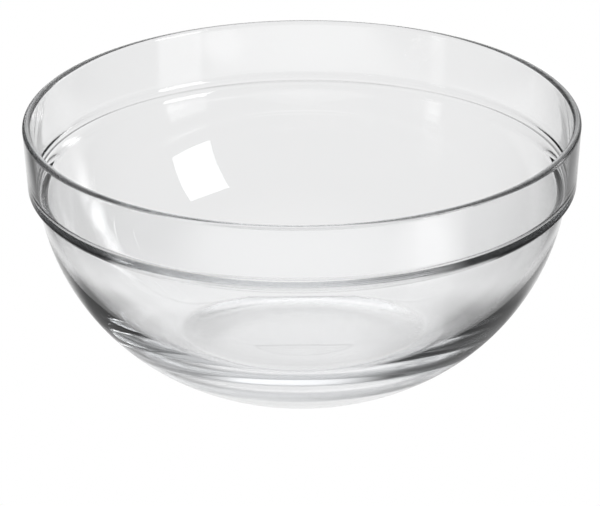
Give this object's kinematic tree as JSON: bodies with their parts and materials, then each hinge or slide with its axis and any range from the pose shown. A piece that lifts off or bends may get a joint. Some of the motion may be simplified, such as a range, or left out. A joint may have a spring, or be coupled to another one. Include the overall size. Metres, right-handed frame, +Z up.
{
  "type": "glass bowl",
  "caption": "Round stacking bowl of clear pressed glass with an upright band under the rim, an outside shoulder, an inside ledge, a round body and a foot ring.",
  "frame": {"origin": "middle of the foot ring, on the surface that the bowl stands on", "axes": "+Z up along the bowl's axis, out of its mouth; X and Y lie in the plane of the foot and are alike"},
  "size_m": [0.23, 0.23, 0.107],
  "materials": {
    "clear_glass": "clear, smooth and glossy"
  },
  "bodies": {
    "root": {"glass_bowl": "clear_glass"}
  },
  "joints": []
}
